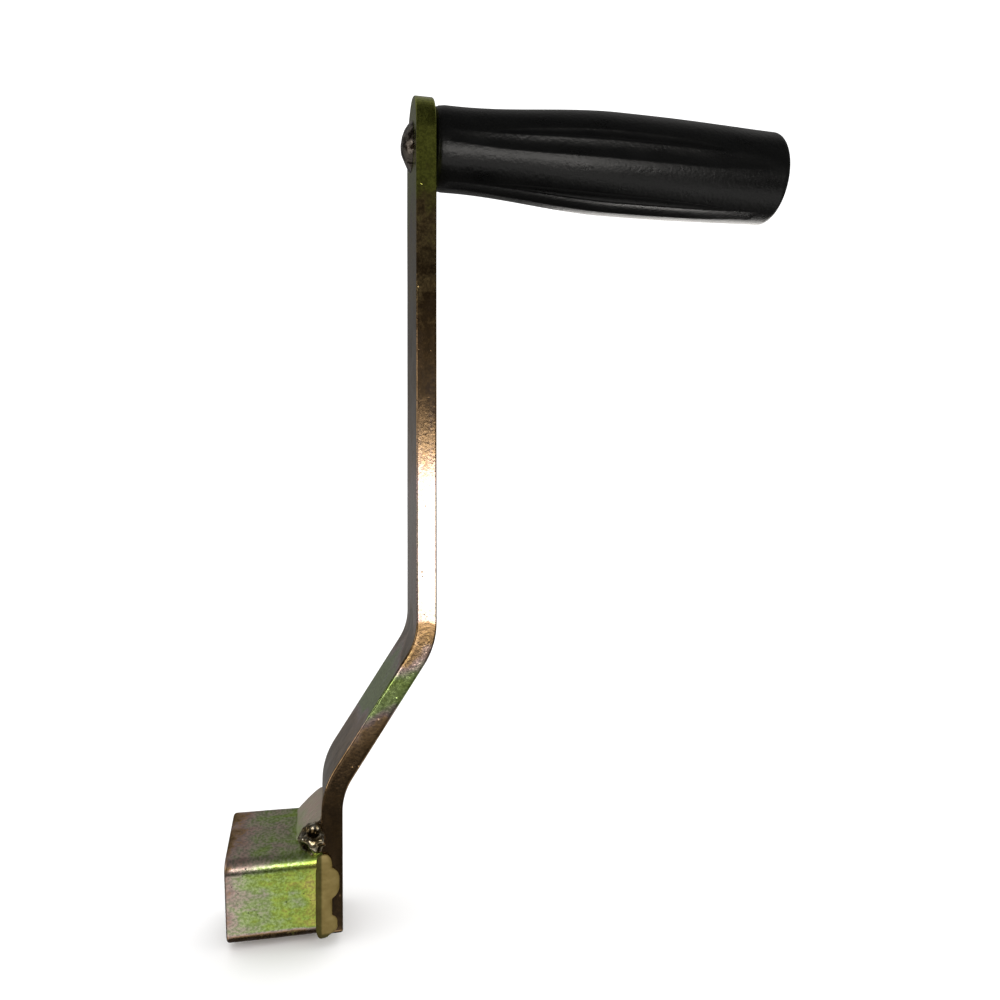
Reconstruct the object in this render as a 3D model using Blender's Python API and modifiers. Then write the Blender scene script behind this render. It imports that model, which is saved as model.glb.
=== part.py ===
"""Crank handle of a hand winch or trailer jack.

A flat bar, bent twice, carries a square drive socket welded to its lower end and a free-turning
plastic grip on an axle at its upper end. The origin is on the socket's axis, on the arm's face that
closes the socket. X runs along the socket and the grip, Z runs up the arm, Y across it, and the
socket's mouth faces -X.
"""

import math

import bmesh
import bpy
from mathutils import Matrix, Vector

# Clearance kept between neighbouring pieces.
GAP = 0.0003

# Arm: a flat bar with a joggle between its lower and upper straight legs.
BAR_THICKNESS = 0.006
BAR_WIDTH = 0.0285
BAR_EDGE_RADIUS = 0.0008
CRANK_RADIUS = 0.220
ARM_BOTTOM_Z = -0.0128
JOGGLE_OFFSET = 0.0272
LOWER_BEND_Z = 0.0285
UPPER_BEND_Z = 0.0703
BEND_INNER_RADIUS = 0.017
BEND_OUTER_RADIUS = BEND_INNER_RADIUS + BAR_THICKNESS
BEND_STEPS = 8
END_STEPS = 24

# Drive socket: square tube, clocked about its own axis.
SOCKET_SIDE = 0.0272
SOCKET_WALL = 0.003
SOCKET_LENGTH = 0.0264
SOCKET_CORNER_RADIUS = 0.004
SOCKET_CLOCKING = math.radians(12.15)
SOCKET_EDGE_BREAK = 0.0004
CORNER_STEPS = 6

# Welds between the socket's inner end and the arm.
FILLET_LEG = 0.0073
FILLET_FRONT_Y = -0.0046
FILLET_REAR_Y = 0.0105
FILLET_END_ROUNDING = 0.0012
CORNER_BLOB_RADIUS = 0.0041
CORNER_BLOB_CENTRE = Vector((-0.0022, -0.0124, 0.0138))
BEAD_RADIUS = 0.0032
BEAD_X = 0.0008

# Axle: shouldered pin, riveted over on the arm's outer face.
SPIGOT_RADIUS = 0.004
SHANK_RADIUS = 0.005
RIVET_RADIUS = 0.0075
RIVET_HEIGHT = 0.0032
HEAD_RADIUS = 0.008
HEAD_THICKNESS = 0.003
HEAD_CHAMFER = 0.0008

# Washer under the axle's head.
WASHER_RADIUS = 0.009
WASHER_THICKNESS = 0.0012

# Grip: barrel-shaped sleeve with long grooves that fade out towards both ends.
GRIP_LENGTH = 0.115
GRIP_END_PLAY = 0.0005
GRIP_INNER_END_RADIUS = 0.0125
GRIP_BULGE_RADIUS = 0.0157
GRIP_OUTER_END_RADIUS = 0.0144
GRIP_COLLAR = 0.006
GRIP_BULGE_AT = 0.058
GRIP_BORE_RADIUS = 0.0054
GRIP_RECESS_RADIUS = 0.0098
GRIP_RECESS_DEPTH = 0.0055
GRIP_INNER_ROUNDING = 0.001
GRIP_OUTER_ROUNDING = 0.002
GROOVES = 5
GROOVE_CUTTER_RADIUS = 0.005
GROOVE_DEPTH = 0.0028
GROOVE_START = 0.008
GROOVE_END = 0.104
GROOVE_PHASE = math.radians(-0.9)
GROOVE_STATIONS = 17
TURN_STEPS = 48

ARM_LEFT_X = JOGGLE_OFFSET
ARM_RIGHT_X = JOGGLE_OFFSET + BAR_THICKNESS
GRIP_START_X = ARM_RIGHT_X + GRIP_END_PLAY
GRIP_END_X = GRIP_START_X + GRIP_LENGTH

# Rotations that lay a flat outline or a turned profile into the object's axes.
OUTLINE_IN_XZ = Matrix.Rotation(math.pi / 2, 4, "X")
OUTLINE_IN_YZ = Matrix.Rotation(math.pi / 2, 4, "Z") @ Matrix.Rotation(math.pi / 2, 4, "X")
TURNED_ABOUT_X = Matrix.Rotation(math.pi / 2, 4, "Y")
CLOCKED = Matrix.Rotation(SOCKET_CLOCKING, 4, "X")


def clear_scene():
    for obj in list(bpy.data.objects):
        bpy.data.objects.remove(obj, do_unlink=True)


def new_collection(name):
    collection = bpy.data.collections.new(name)
    bpy.context.scene.collection.children.link(collection)
    return collection


def new_material(name, colour, metallic, roughness):
    material = bpy.data.materials.new(name)
    material.use_nodes = True
    shader = material.node_tree.nodes["Principled BSDF"]
    shader.inputs["Base Color"].default_value = (*colour, 1.0)
    shader.inputs["Metallic"].default_value = metallic
    shader.inputs["Roughness"].default_value = roughness
    return material


def add_part(name, mesh, material, matrix=None):
    """Put a mesh into the part's collection, under its own name and material."""
    mesh.name = name
    part = bpy.data.objects.new(name, mesh)
    if matrix is not None:
        part.matrix_world = matrix
    mesh.materials.clear()
    mesh.materials.append(material)
    PARTS.objects.link(part)
    return part


def add_cutter(name, mesh, matrix=None):
    mesh.name = name
    cutter = bpy.data.objects.new(name, mesh)
    if matrix is not None:
        cutter.matrix_world = matrix
    cutter.hide_render = True
    cutter.display_type = "WIRE"
    CUTTERS.objects.link(cutter)
    return cutter


def mesh_of_curve(curve):
    """The closed mesh of a curve, with its caps welded on."""
    holder = bpy.data.objects.new("holder", curve)
    CUTTERS.objects.link(holder)
    graph = bpy.context.evaluated_depsgraph_get()
    mesh = bpy.data.meshes.new_from_object(holder.evaluated_get(graph))
    bpy.data.objects.remove(holder, do_unlink=True)
    bpy.data.curves.remove(curve)
    work = bmesh.new()
    work.from_mesh(mesh)
    bmesh.ops.remove_doubles(work, verts=work.verts, dist=0.00001)
    bmesh.ops.recalc_face_normals(work, faces=work.faces)
    work.to_mesh(mesh)
    work.free()
    return mesh


def extruded(outlines, thickness):
    """A plate of the given thickness, whose outlines are closed rings of (x, y) points."""
    curve = bpy.data.curves.new("outline", "CURVE")
    curve.dimensions = "2D"
    curve.fill_mode = "BOTH"
    curve.extrude = thickness / 2
    for ring in outlines:
        spline = curve.splines.new("POLY")
        spline.points.add(len(ring) - 1)
        for point, (x, y) in zip(spline.points, ring):
            point.co = (x, y, 0.0, 1.0)
        spline.use_cyclic_u = True
    return mesh_of_curve(curve)


def tube(points, radii, sides_resolution):
    """A capped tube along a polyline, with its own radius at each point."""
    curve = bpy.data.curves.new("path", "CURVE")
    curve.dimensions = "3D"
    curve.fill_mode = "FULL"
    curve.bevel_depth = 1.0
    curve.bevel_resolution = sides_resolution
    curve.use_fill_caps = True
    spline = curve.splines.new("POLY")
    spline.points.add(len(points) - 1)
    for point, place, radius in zip(spline.points, points, radii):
        point.co = (*place, 1.0)
        point.radius = radius
    return mesh_of_curve(curve)


def profile_mesh(points, closed):
    """A polyline of (radius, height) points in the XZ plane, for a Screw modifier."""
    mesh = bpy.data.meshes.new("profile")
    edges = [(i, i + 1) for i in range(len(points) - 1)]
    if closed:
        edges.append((len(points) - 1, 0))
    mesh.from_pydata([(radius, 0.0, height) for radius, height in points], edges, [])
    return mesh


def turn(part):
    screw = part.modifiers.new("turned", "SCREW")
    screw.axis = "Z"
    screw.angle = math.tau
    screw.steps = TURN_STEPS
    screw.render_steps = TURN_STEPS
    screw.use_merge_vertices = True
    screw.merge_threshold = 0.00001
    screw.use_smooth_shade = True


def boolean(part, cutter, operation):
    modifier = part.modifiers.new(cutter.name, "BOOLEAN")
    modifier.operation = operation
    modifier.solver = "EXACT"
    modifier.object = cutter


def bevel(part, width, segments, angle):
    modifier = part.modifiers.new("rounded edges", "BEVEL")
    modifier.width = width
    modifier.segments = segments
    modifier.limit_method = "ANGLE"
    modifier.angle_limit = math.radians(angle)


def arc(centre, radius, start, end, steps):
    """Points (x, y) along an arc, with angles in radians, both ends included."""
    return [
        (
            centre[0] + radius * math.cos(start + (end - start) * i / steps),
            centre[1] + radius * math.sin(start + (end - start) * i / steps),
        )
        for i in range(steps + 1)
    ]


def rounded_square(side, corner_radius):
    reach = side / 2 - corner_radius
    ring = []
    for quarter in range(4):
        start = quarter * math.pi / 2
        middle = start + math.pi / 4
        centre = (math.copysign(reach, math.cos(middle)), math.copysign(reach, math.sin(middle)))
        ring += arc(centre, corner_radius, start, start + math.pi / 2, CORNER_STEPS)
    return ring


def joggled_outline(below, above):
    """The bar's side view in (x, z): its left face going up, then its right face coming down."""
    lean = math.atan2(JOGGLE_OFFSET, UPPER_BEND_Z - LOWER_BEND_Z)
    tangent = math.tan(lean / 2)
    lower_centre = (BEND_OUTER_RADIUS, LOWER_BEND_Z - BEND_OUTER_RADIUS * tangent)
    upper_centre = (JOGGLE_OFFSET - BEND_INNER_RADIUS, UPPER_BEND_Z + BEND_INNER_RADIUS * tangent)
    left = [(0.0, below)]
    left += arc(lower_centre, BEND_OUTER_RADIUS, math.pi, math.pi - lean, BEND_STEPS)
    left += arc(upper_centre, BEND_INNER_RADIUS, -lean, 0.0, BEND_STEPS)
    left.append((ARM_LEFT_X, above))
    right = [(BAR_THICKNESS, below)]
    right += arc(lower_centre, BEND_INNER_RADIUS, math.pi, math.pi - lean, BEND_STEPS)
    right += arc(upper_centre, BEND_OUTER_RADIUS, -lean, 0.0, BEND_STEPS)
    right.append((ARM_RIGHT_X, above))
    return left + right[::-1]


def crank_arm(material):
    """The bent bar: its side view, trimmed to its front view, with the axle's hole."""
    spare = 0.005
    top = CRANK_RADIUS + BAR_WIDTH / 2
    side_view = extruded([joggled_outline(ARM_BOTTOM_Z - spare, top + spare)], BAR_WIDTH + 2 * spare)
    half = BAR_WIDTH / 2
    front = [(-half, ARM_BOTTOM_Z), (half, ARM_BOTTOM_Z)]
    front += arc((0.0, CRANK_RADIUS), half, 0.0, math.pi, END_STEPS)
    front_view = extruded([front], 4 * JOGGLE_OFFSET)
    trim = add_cutter("arm_front_view", front_view, OUTLINE_IN_YZ)
    arm = add_part("crank_arm", side_view, material, OUTLINE_IN_XZ)
    boolean(arm, trim, "INTERSECT")
    bevel(arm, BAR_EDGE_RADIUS, 2, 40)
    middle = Matrix.Translation((ARM_LEFT_X + BAR_THICKNESS / 2, 0.0, CRANK_RADIUS))
    hole = round_bar_mesh(SPIGOT_RADIUS + GAP, 2 * BAR_THICKNESS)
    boolean(arm, add_cutter("axle_hole", hole, middle @ TURNED_ABOUT_X), "DIFFERENCE")
    return arm


def round_bar_mesh(radius, length):
    mesh = bpy.data.meshes.new("bar")
    work = bmesh.new()
    bmesh.ops.create_cone(
        work,
        cap_ends=True,
        segments=TURN_STEPS,
        radius1=radius,
        radius2=radius,
        depth=length,
    )
    work.to_mesh(mesh)
    work.free()
    return mesh


def drive_socket(material):
    """The square tube, from its mouth to just short of the arm."""
    outer = rounded_square(SOCKET_SIDE, SOCKET_CORNER_RADIUS)
    inner_side = SOCKET_SIDE - 2 * SOCKET_WALL
    inner = rounded_square(inner_side, SOCKET_CORNER_RADIUS - SOCKET_WALL)
    mesh = extruded([outer, inner], SOCKET_LENGTH - GAP)
    middle = Matrix.Translation((-(SOCKET_LENGTH + GAP) / 2, 0.0, 0.0))
    socket = add_part("drive_socket", mesh, material, CLOCKED @ middle @ OUTLINE_IN_YZ)
    bevel(socket, SOCKET_EDGE_BREAK, 1, 60)
    return socket


def weld_guards():
    """Slightly enlarged solid copies of the arm's lower leg and of the socket, which trim the welds."""
    side = SOCKET_SIDE + 2 * GAP
    block = extruded([rounded_square(side, SOCKET_CORNER_RADIUS + GAP)], SOCKET_LENGTH + GAP)
    middle = Matrix.Translation((-(SOCKET_LENGTH + GAP) / 2, 0.0, 0.0))
    socket_guard = add_cutter("socket_guard", block, CLOCKED @ middle @ OUTLINE_IN_YZ)
    mesh = bpy.data.meshes.new("arm_guard")
    work = bmesh.new()
    bmesh.ops.create_cube(work, size=1.0)
    low = Vector((-GAP, -BAR_WIDTH / 2 - GAP, ARM_BOTTOM_Z - GAP))
    high = Vector((BAR_THICKNESS + GAP, BAR_WIDTH / 2 + GAP, UPPER_BEND_Z))
    bmesh.ops.scale(work, vec=high - low, verts=work.verts)
    bmesh.ops.translate(work, vec=(low + high) / 2, verts=work.verts)
    work.to_mesh(mesh)
    work.free()
    return [socket_guard, add_cutter("arm_guard", mesh)]


def weld_top(material, guards):
    """A flat 45 degree fillet in the corner above the socket, lying along its top wall."""
    inset = 0.001
    wall = SOCKET_SIDE / 2
    triangle = [
        (-FILLET_LEG - inset, wall - inset),
        (inset, wall - inset),
        (inset, wall + FILLET_LEG + inset),
    ]
    mesh = extruded([triangle], FILLET_REAR_Y - FILLET_FRONT_Y)
    middle = Matrix.Translation((0.0, (FILLET_REAR_Y + FILLET_FRONT_Y) / 2, 0.0))
    weld = add_part("weld_top", mesh, material, CLOCKED @ middle @ OUTLINE_IN_XZ)
    bevel(weld, FILLET_END_ROUNDING, 2, 60)
    for guard in guards:
        boolean(weld, guard, "DIFFERENCE")
    return weld


def weld_corner(material, guards):
    """The stop blob where the top fillet reaches the front corner."""
    mesh = bpy.data.meshes.new("blob")
    work = bmesh.new()
    bmesh.ops.create_uvsphere(work, u_segments=20, v_segments=12, radius=CORNER_BLOB_RADIUS)
    work.to_mesh(mesh)
    work.free()
    mesh.shade_smooth()
    weld = add_part("weld_corner", mesh, material, Matrix.Translation(CORNER_BLOB_CENTRE))
    for guard in guards:
        boolean(weld, guard, "DIFFERENCE")
    return weld


def weld_bead(name, start, end, swells, material, guards):
    """A bead between two points on a seam; swells are the bead's thickness along it, 1 being full."""
    start = Vector(start)
    end = Vector(end)
    last = len(swells) - 1
    places = [start.lerp(end, i / last) for i in range(last + 1)]
    mesh = tube(places, [BEAD_RADIUS * swell for swell in swells], 3)
    mesh.shade_smooth()
    weld = add_part(name, mesh, material)
    for guard in guards:
        boolean(weld, guard, "DIFFERENCE")
    return weld


def grip_axle(material):
    """A turned pin along X: outer head, shank, shoulder, spigot and riveted dome, from right to left."""
    head_face = GRIP_END_X - GRIP_RECESS_DEPTH + WASHER_THICKNESS + 2 * GAP
    head_top = head_face + HEAD_THICKNESS
    shoulder = ARM_RIGHT_X + GAP
    dome_base = ARM_LEFT_X - GAP
    sphere = (RIVET_RADIUS**2 + RIVET_HEIGHT**2) / (2 * RIVET_HEIGHT)
    sweep = math.asin(RIVET_RADIUS / sphere)
    profile = [
        (0.0, head_top),
        (HEAD_RADIUS - HEAD_CHAMFER, head_top),
        (HEAD_RADIUS, head_top - HEAD_CHAMFER),
        (HEAD_RADIUS, head_face),
        (SHANK_RADIUS, head_face),
        (SHANK_RADIUS, shoulder),
        (SPIGOT_RADIUS, shoulder),
        (SPIGOT_RADIUS, dome_base),
    ]
    dome_steps = 6
    centre_height = dome_base - RIVET_HEIGHT + sphere
    for i in range(dome_steps + 1):
        angle = sweep * (1 - i / dome_steps)
        profile.append((sphere * math.sin(angle), centre_height - sphere * math.cos(angle)))
    profile[-1] = (0.0, dome_base - RIVET_HEIGHT)
    matrix = Matrix.Translation((0.0, 0.0, CRANK_RADIUS)) @ TURNED_ABOUT_X
    axle = add_part("grip_axle", profile_mesh(profile, False), material, matrix)
    turn(axle)
    return axle


def head_washer(material):
    low = GRIP_END_X - GRIP_RECESS_DEPTH + GAP
    high = low + WASHER_THICKNESS
    bore = SHANK_RADIUS + GAP
    profile = [(bore, high), (WASHER_RADIUS, high), (WASHER_RADIUS, low), (bore, low)]
    matrix = Matrix.Translation((0.0, 0.0, CRANK_RADIUS)) @ TURNED_ABOUT_X
    washer = add_part("head_washer", profile_mesh(profile, True), material, matrix)
    turn(washer)
    return washer


def smoothstep(t):
    t = min(max(t, 0.0), 1.0)
    return t * t * (3 - 2 * t)


def barrel_radius(along):
    """The grip's outer radius at a distance along it from its end by the arm."""
    if along < GRIP_BULGE_AT:
        rise = smoothstep((along - GRIP_COLLAR) / (GRIP_BULGE_AT - GRIP_COLLAR))
        return GRIP_INNER_END_RADIUS + (GRIP_BULGE_RADIUS - GRIP_INNER_END_RADIUS) * rise
    fall = smoothstep((along - GRIP_BULGE_AT) / (GRIP_LENGTH - GRIP_BULGE_AT))
    return GRIP_BULGE_RADIUS + (GRIP_OUTER_END_RADIUS - GRIP_BULGE_RADIUS) * fall


def groove_depth(along):
    t = (along - GROOVE_START) / (GROOVE_END - GROOVE_START)
    return GROOVE_DEPTH * math.sin(math.pi * t)


def groove_cutter(index):
    """A bowed round bar that cuts one groove, deepest at the barrel's bulge."""
    angle = GROOVE_PHASE + index * math.tau / GROOVES
    points = []
    overrun = 0.004
    for i in range(GROOVE_STATIONS):
        t = i / (GROOVE_STATIONS - 1)
        along = GROOVE_START - overrun + (GROOVE_END - GROOVE_START + 2 * overrun) * t
        distance = barrel_radius(along) - groove_depth(along) + GROOVE_CUTTER_RADIUS
        points.append(
            (
                GRIP_START_X + along,
                -distance * math.cos(angle),
                CRANK_RADIUS + distance * math.sin(angle),
            )
        )
    mesh = tube(points, [GROOVE_CUTTER_RADIUS] * GROOVE_STATIONS, 6)
    return add_cutter("groove_%d" % index, mesh)


def grip_sleeve(material):
    """The moulded sleeve: a turned barrel with a bore and an end recess, then its grooves."""
    stations = 18
    inner_end = GRIP_START_X
    outer_rounding_centre = (
        barrel_radius(GRIP_LENGTH) - GRIP_OUTER_ROUNDING,
        GRIP_END_X - GRIP_OUTER_ROUNDING,
    )
    inner_rounding_centre = (
        barrel_radius(0.0) - GRIP_INNER_ROUNDING,
        inner_end + GRIP_INNER_ROUNDING,
    )
    profile = [(GRIP_RECESS_RADIUS, GRIP_END_X)]
    profile += arc(outer_rounding_centre, GRIP_OUTER_ROUNDING, math.pi / 2, 0.0, 4)
    for i in range(1, stations):
        along = GRIP_LENGTH * (1 - i / stations)
        profile.append((barrel_radius(along), inner_end + along))
    profile += arc(inner_rounding_centre, GRIP_INNER_ROUNDING, 0.0, -math.pi / 2, 3)
    profile += [
        (GRIP_BORE_RADIUS, inner_end),
        (GRIP_BORE_RADIUS, GRIP_END_X - GRIP_RECESS_DEPTH),
        (GRIP_RECESS_RADIUS, GRIP_END_X - GRIP_RECESS_DEPTH),
    ]
    matrix = Matrix.Translation((0.0, 0.0, CRANK_RADIUS)) @ TURNED_ABOUT_X
    sleeve = add_part("grip_sleeve", profile_mesh(profile, True), material, matrix)
    turn(sleeve)
    for index in range(GROOVES):
        boolean(sleeve, groove_cutter(index), "DIFFERENCE")
    return sleeve


def build():
    plating = new_material("yellow_zinc", (0.42, 0.40, 0.18), 1.0, 0.32)
    weld_metal = new_material("plated_weld", (0.45, 0.38, 0.20), 1.0, 0.4)
    steel = new_material("bright_steel", (0.55, 0.52, 0.48), 1.0, 0.3)
    plastic = new_material("black_plastic", (0.012, 0.012, 0.012), 0.0, 0.45)

    crank_arm(plating)
    drive_socket(plating)

    guards = weld_guards()
    weld_top(weld_metal, guards)
    weld_corner(weld_metal, guards)
    front_swells = (0.55, 0.95, 1.0, 0.8, 0.85, 1.0, 0.6)
    plain_swells = (0.5, 0.95, 0.9, 0.95, 0.9, 0.95, 0.5)
    weld_bead(
        "weld_front",
        (BEAD_X, -0.0139, 0.0088),
        (BEAD_X, -0.0130, -0.0140),
        front_swells,
        weld_metal,
        guards,
    )
    weld_bead(
        "weld_rear",
        (BEAD_X, 0.0125, 0.0130),
        (BEAD_X, 0.0138, -0.0085),
        plain_swells,
        weld_metal,
        guards,
    )
    weld_bead(
        "weld_bottom",
        (BEAD_X, -0.0080, -0.0143),
        (BEAD_X, 0.0105, -0.0118),
        plain_swells,
        weld_metal,
        guards,
    )

    grip_axle(steel)
    head_washer(steel)
    grip_sleeve(plastic)


clear_scene()
PARTS = new_collection("crank_handle")
CUTTERS = new_collection("cutters")
build()
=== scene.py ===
import math

import bmesh
import bpy
from mathutils import Matrix, Vector, noise


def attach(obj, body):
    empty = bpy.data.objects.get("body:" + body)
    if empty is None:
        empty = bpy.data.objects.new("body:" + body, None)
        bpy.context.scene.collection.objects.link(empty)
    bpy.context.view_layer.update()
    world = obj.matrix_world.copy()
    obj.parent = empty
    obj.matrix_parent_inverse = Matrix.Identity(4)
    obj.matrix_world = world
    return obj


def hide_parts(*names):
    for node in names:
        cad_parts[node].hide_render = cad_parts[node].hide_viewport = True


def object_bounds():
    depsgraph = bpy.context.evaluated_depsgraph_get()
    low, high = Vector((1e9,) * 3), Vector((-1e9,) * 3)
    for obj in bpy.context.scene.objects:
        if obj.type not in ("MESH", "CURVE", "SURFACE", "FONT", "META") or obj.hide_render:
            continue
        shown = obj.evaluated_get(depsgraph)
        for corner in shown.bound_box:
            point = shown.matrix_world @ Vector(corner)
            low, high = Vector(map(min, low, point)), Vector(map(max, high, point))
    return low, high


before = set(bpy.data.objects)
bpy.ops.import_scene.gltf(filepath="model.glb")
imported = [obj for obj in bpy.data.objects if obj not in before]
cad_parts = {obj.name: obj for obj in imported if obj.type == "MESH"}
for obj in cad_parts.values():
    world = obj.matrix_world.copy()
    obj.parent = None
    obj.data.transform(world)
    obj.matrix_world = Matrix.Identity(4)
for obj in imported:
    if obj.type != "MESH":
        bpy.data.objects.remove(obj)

CAD_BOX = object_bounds()

# ---------------------------------------------------------------- sizes, metres
# The flat bar and its two bends.
BAR_THICKNESS = 0.006
BAR_WIDTH = 0.0285
BAR_EDGE_RADIUS = 0.0006
BAR_CORNER_RADIUS = 0.0012
BAR_LEAST_CORNER_RADIUS = 0.0002
BAR_FACE_RING_INSET = 0.0022
BAR_RIPPLE = 0.00005
BAR_MIDDLE_BEND_RADIUS = 0.020
CRANK_RADIUS = 0.220
ARM_BOTTOM_Z = -0.0133
JOGGLE_OFFSET = 0.0272
LOWER_BEND_Z = 0.0285
UPPER_BEND_Z = 0.0703
LEAN = math.atan2(JOGGLE_OFFSET, UPPER_BEND_Z - LOWER_BEND_Z)
BEND_TANGENT = math.tan(LEAN / 2)
LOWER_BEND_CENTRE = (
    BAR_MIDDLE_BEND_RADIUS + BAR_THICKNESS / 2,
    LOWER_BEND_Z - (BAR_MIDDLE_BEND_RADIUS + BAR_THICKNESS / 2) * BEND_TANGENT,
)
UPPER_BEND_CENTRE = (
    JOGGLE_OFFSET - BAR_MIDDLE_BEND_RADIUS + BAR_THICKNESS / 2,
    UPPER_BEND_Z + (BAR_MIDDLE_BEND_RADIUS - BAR_THICKNESS / 2) * BEND_TANGENT,
)
ARM_LEFT_X = JOGGLE_OFFSET
ARM_RIGHT_X = JOGGLE_OFFSET + BAR_THICKNESS

# The square tube.
SOCKET_SIDE = 0.0272
SOCKET_WALL = 0.003
SOCKET_LENGTH = 0.0264
SOCKET_CORNER_RADIUS = 0.004
SOCKET_CLOCKING = math.radians(12.15)
SOCKET_EDGE_ROUNDING = 0.0009
SOCKET_INNER_CORNER_RADIUS = 0.001
SOCKET_OVERLAP = 0.0004
SOCKET_SWELL = 0.00006

# The welds.
FILLET_LEG = 0.0073
FILLET_FRONT_Y = -0.0062
FILLET_REAR_Y = 0.0108
BLOB_CENTRE = Vector((-0.0023, -0.0123, 0.0139))
BLOB_RADIUS = 0.0042
BLOB_STRETCH = Vector((0.98, 0.92, 1.10))
BEAD_X = 0.0003
WASH_TOP_Z = 0.0104
WASH_BOTTOM_Z = -0.0138
WASH_CROWN = 0.00055
WASH_LEFT_WIDTH = 0.0019
WASH_LEAST_RIGHT_WIDTH = 0.0027
# Each scallop of the wash: the height of its middle, half its height, its width.
WASH_SCALLOPS = ((0.0018, 0.0052, 0.0048), (-0.0103, 0.0034, 0.0044))
RIPPLE_PITCH = 0.0014
RIPPLE_BOW = 0.0006
BEAD_WANDER = 0.00012
BEAD_SWELL = 0.0003
BEAD_END_LENGTH = 0.0035

# The axle and its washer.
SPIGOT_RADIUS = 0.004
SHANK_RADIUS = 0.005
RIVET_RADIUS = 0.0075
RIVET_HEIGHT = 0.0032
HEAD_RADIUS = 0.008
HEAD_THICKNESS = 0.003
WASHER_RADIUS = 0.009
WASHER_THICKNESS = 0.0012
GAP = 0.0003
HEAD_EDGE_RADIUS = 0.0009
SMALL_CHAMFER = 0.0003
WASHER_CHAMFER = 0.0002
AXIS_RADIUS = 0.00001
AXLE_STEPS = 120
WASHER_STEPS = 96

# The plastic grip.
GRIP_LENGTH = 0.115
GRIP_START_X = ARM_RIGHT_X + 0.0005
GRIP_END_X = GRIP_START_X + GRIP_LENGTH
GRIP_INNER_END_RADIUS = 0.0125
GRIP_BULGE_RADIUS = 0.0157
GRIP_OUTER_END_RADIUS = 0.0147
GRIP_COLLAR = 0.006
GRIP_NOSE_LENGTH = 0.0032
GRIP_NOSE_DROP = 0.00045
GRIP_BULGE_AT = 0.058
GRIP_BORE_RADIUS = 0.0054
GRIP_RECESS_RADIUS = 0.0098
GRIP_RECESS_DEPTH = 0.0055
GROOVE_PAIRS = 5
GROOVE_PHASE = math.radians(4.5)
GROOVE_START = 0.0032
GROOVE_END = 0.1075
GROOVE_DEPTH = 0.00058
GROOVE_END_DEPTH = 0.0002
LONG_GROOVE_ANGLE = math.radians(20.0)
SHORT_GROOVE_ANGLE = math.radians(12.5)
SHORT_GROOVE_REACH = 0.38
GROOVE_END_FADE = 0.018
GRIP_INNER_ROUNDING = 0.001
GRIP_OUTER_ROUNDING = 0.0021
GRIP_LIP_ROUNDING = 0.0004
GRIP_INNER_FACE_RADII = (GRIP_BORE_RADIUS + 0.002, 0.0112)
GRIP_BARREL_START = 0.0012
GRIP_LEAST_GROOVED_RADIUS = 0.0119
GRIP_STATIONS = 170
GRIP_STEPS = 300

# Where the plating changes colour or finish, and where painted highlight and painted shade are laid on,
# along the named axis.
BAR_FILM_LOW_Z = -0.013
BAR_FILM_HIGH_Z = 0.235
TUBE_FILM_LOW_X = -0.0265
TUBE_FILM_HIGH_X = 0.0
TUBE_TOP_FILM_Z = (0.0075, 0.0110)
TUBE_TOP_ROUGH_Z = (0.0080, 0.0100)
# Painted shade: below this band the tube's film is darkened towards its underside.
TUBE_PAINTED_SHADE_Z = (-0.0126, -0.0112)
FILLET_FILM_Z = (0.012, 0.019)
# Painted shade: the weld wash is dark olive left of the first span and below the second.
WASH_OVER_BAR_X = (-0.0003, 0.0004)
WASH_PAINTED_SHADE_END_Z = (-0.0129, -0.0121)
BLOB_RIDGE_REACH = (0.0033, 0.0041)
HAMMERED_TO_PLAIN_X = (0.06, 0.07)

# The room, metres and watts: each light's place, what it faces, its size and its power.
LIGHTS = (
    ("key", (0.09, -0.414, 0.0725), (0.09, 0.0, 0.0725), (0.32, 0.133), 0.70),
    ("back", (0.40, 0.52, 0.12), (0.04, 0.0, 0.10), (0.40, 0.40), 1.3),
    ("left", (-0.62, -0.12, 0.16), (0.0, 0.0, 0.10), (0.30, 0.30), 0.6),
)
LIGHT_COLOUR = (1.0, 0.97, 0.93)
FLOOR_REACH = 30.0
SURROUND_STRENGTH = 1.30

# The camera: place in metres, lens and sensor in millimetres, how far it looks down and turns.
CAMERA_PLACE = (0.00268, -0.2438, 0.1129)
CAMERA_LENS = 28.34
CAMERA_SENSOR = 36.0
CAMERA_DOWN = math.radians(0.42)
CAMERA_TURN = math.radians(-12.15)

CLOCKED = Matrix.Rotation(SOCKET_CLOCKING, 4, "X")


# ---------------------------------------------------------------- mesh helpers
def smoothstep(t):
    t = min(max(t, 0.0), 1.0)
    return t * t * (3 - 2 * t)


def grid_faces(rows, columns, wrap_rows=False, wrap_columns=False):
    """Quads between neighbouring rows of points; each row holds the same number of points."""
    faces = []
    for i in range(rows if wrap_rows else rows - 1):
        low = i * columns
        high = (i + 1) % rows * columns
        for j in range(columns if wrap_columns else columns - 1):
            k = (j + 1) % columns
            faces.append((low + j, low + k, high + k, high + j))
    return faces


def make_piece(name, points, faces, material, body, node):
    """A smooth-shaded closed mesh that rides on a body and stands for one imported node."""
    mesh = bpy.data.meshes.new(name)
    mesh.from_pydata([tuple(p) for p in points], [], faces)
    work = bmesh.new()
    work.from_mesh(mesh)
    bmesh.ops.remove_doubles(work, verts=work.verts, dist=0.000001)
    bmesh.ops.recalc_face_normals(work, faces=work.faces)
    work.to_mesh(mesh)
    work.free()
    mesh.shade_smooth()
    mesh.materials.append(material)
    piece = bpy.data.objects.new(name, mesh)
    bpy.context.scene.collection.objects.link(piece)
    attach(piece, body)
    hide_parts(node)
    return piece


def turned(profile, steps, shape=None):
    """Points of an (x, radius) profile turned about the axle's line, each moved by shape if given."""
    points = []
    for x, radius in profile:
        for k in range(steps):
            angle = math.tau * k / steps
            p = Vector((x, -radius * math.cos(angle), CRANK_RADIUS + radius * math.sin(angle)))
            points.append(shape(p, radius, angle) if shape else p)
    return points


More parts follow.
